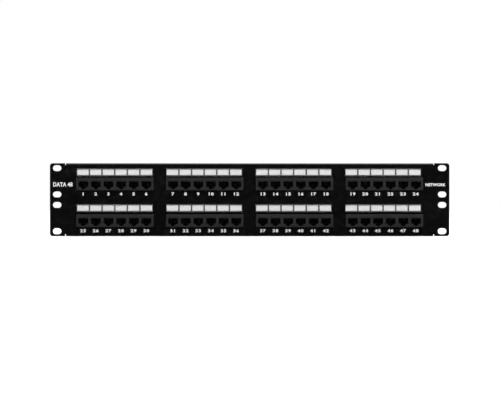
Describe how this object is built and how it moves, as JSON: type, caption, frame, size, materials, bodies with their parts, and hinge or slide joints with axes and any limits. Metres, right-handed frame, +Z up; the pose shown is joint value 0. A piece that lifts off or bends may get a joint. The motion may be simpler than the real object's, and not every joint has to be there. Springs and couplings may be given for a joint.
{
  "type": "patch panel",
  "caption": "Two-unit 19-inch rack patch panel: folded steel sheet, two rows of six-port jack modules, slotted ears, clear label holders and rear wiring strips.",
  "frame": {"origin": "middle of the sheet's rear face, the plane that bears on the rack's rails", "axes": "+X to the right seen from the front, +Y into the rack, +Z up; the jacks face -Y"},
  "size_m": [0.4826, 0.0378, 0.0882],
  "materials": {
    "panel_paint": "satin black powder coat",
    "jack_plastic": "fine moulded texture",
    "carrier_plastic": "moulded",
    "board": "green solder mask",
    "strip_plastic": "moulded",
    "holder_plastic": "clear",
    "label_card": "matte white",
    "gold_contact": "gold-plated spring wire",
    "idc_metal": "tin-plated",
    "print_white": "screen-printed ink",
    "steel_screw": "zinc-plated"
  },
  "bodies": {
    "panel": {"panel_plate": "panel_paint", "jack_block_1": "jack_plastic", "contact_carrier_1": "carrier_plastic", "circuit_board_1": "board", "idc_strip_upper_1": "strip_plastic", "idc_strip_lower_1": "strip_plastic", "jack_block_2": "jack_plastic", "contact_carrier_2": "carrier_plastic", "circuit_board_2": "board", "idc_strip_upper_2": "strip_plastic", "idc_strip_lower_2": "strip_plastic", "jack_block_3": "jack_plastic", "contact_carrier_3": "carrier_plastic", "circuit_board_3": "board", "idc_strip_upper_3": "strip_plastic", "idc_strip_lower_3": "strip_plastic", "jack_block_4": "jack_plastic", "contact_carrier_4": "carrier_plastic", "circuit_board_4": "board", "idc_strip_upper_4": "strip_plastic", "idc_strip_lower_4": "strip_plastic", "jack_block_5": "jack_plastic", "contact_carrier_5": "carrier_plastic", "circuit_board_5": "board", "idc_strip_upper_5": "strip_plastic", "idc_strip_lower_5": "strip_plastic", "jack_block_6": "jack_plastic", "contact_carrier_6": "carrier_plastic", "circuit_board_6": "board", "idc_strip_upper_6": "strip_plastic", "idc_strip_lower_6": "strip_plastic", "jack_block_7": "jack_plastic", "contact_carrier_7": "carrier_plastic", "circuit_board_7": "board", "idc_strip_upper_7": "strip_plastic", "idc_strip_lower_7": "strip_plastic", "jack_block_8": "jack_plastic", "contact_carrier_8": "carrier_plastic", "circuit_board_8": "board", "idc_strip_upper_8": "strip_plastic", "idc_strip_lower_8": "strip_plastic"},
    "label_holder_1": {"label_holder_1": "holder_plastic"},
    "label_card_1": {"label_card_1": "label_card"},
    "label_holder_2": {"label_holder_2": "holder_plastic"},
    "label_card_2": {"label_card_2": "label_card"},
    "label_holder_3": {"label_holder_3": "holder_plastic"},
    "label_card_3": {"label_card_3": "label_card"},
    "label_holder_4": {"label_holder_4": "holder_plastic"},
    "label_card_4": {"label_card_4": "label_card"},
    "label_holder_5": {"label_holder_5": "holder_plastic"},
    "label_card_5": {"label_card_5": "label_card"},
    "label_holder_6": {"label_holder_6": "holder_plastic"},
    "label_card_6": {"label_card_6": "label_card"},
    "label_holder_7": {"label_holder_7": "holder_plastic"},
    "label_card_7": {"label_card_7": "label_card"},
    "label_holder_8": {"label_holder_8": "holder_plastic"},
    "label_card_8": {"label_card_8": "label_card"}
  },
  "joints": [
    {"name": "holder_1_pull", "type": "slide", "parent": "panel", "child": "label_holder_1", "axis": [0, -1, 0], "range_m": [0, 0.008]},
    {"name": "card_1_slide", "type": "slide", "parent": "label_holder_1", "child": "label_card_1", "axis": [1, 0, 0], "range_m": [0, 0.015]},
    {"name": "holder_2_pull", "type": "slide", "parent": "panel", "child": "label_holder_2", "axis": [0, -1, 0], "range_m": [0, 0.008]},
    {"name": "card_2_slide", "type": "slide", "parent": "label_holder_2", "child": "label_card_2", "axis": [1, 0, 0], "range_m": [0, 0.015]},
    {"name": "holder_3_pull", "type": "slide", "parent": "panel", "child": "label_holder_3", "axis": [0, -1, 0], "range_m": [0, 0.008]},
    {"name": "card_3_slide", "type": "slide", "parent": "label_holder_3", "child": "label_card_3", "axis": [1, 0, 0], "range_m": [0, 0.015]},
    {"name": "holder_4_pull", "type": "slide", "parent": "panel", "child": "label_holder_4", "axis": [0, -1, 0], "range_m": [0, 0.008]},
    {"name": "card_4_slide", "type": "slide", "parent": "label_holder_4", "child": "label_card_4", "axis": [1, 0, 0], "range_m": [0, 0.015]},
    {"name": "holder_5_pull", "type": "slide", "parent": "panel", "child": "label_holder_5", "axis": [0, -1, 0], "range_m": [0, 0.008]},
    {"name": "card_5_slide", "type": "slide", "parent": "label_holder_5", "child": "label_card_5", "axis": [1, 0, 0], "range_m": [0, 0.015]},
    {"name": "holder_6_pull", "type": "slide", "parent": "panel", "child": "label_holder_6", "axis": [0, -1, 0], "range_m": [0, 0.008]},
    {"name": "card_6_slide", "type": "slide", "parent": "label_holder_6", "child": "label_card_6", "axis": [1, 0, 0], "range_m": [0, 0.015]},
    {"name": "holder_7_pull", "type": "slide", "parent": "panel", "child": "label_holder_7", "axis": [0, -1, 0], "range_m": [0, 0.008]},
    {"name": "card_7_slide", "type": "slide", "parent": "label_holder_7", "child": "label_card_7", "axis": [1, 0, 0], "range_m": [0, 0.015]},
    {"name": "holder_8_pull", "type": "slide", "parent": "panel", "child": "label_holder_8", "axis": [0, -1, 0], "range_m": [0, 0.008]},
    {"name": "card_8_slide", "type": "slide", "parent": "label_holder_8", "child": "label_card_8", "axis": [1, 0, 0], "range_m": [0, 0.015]}
  ]
}
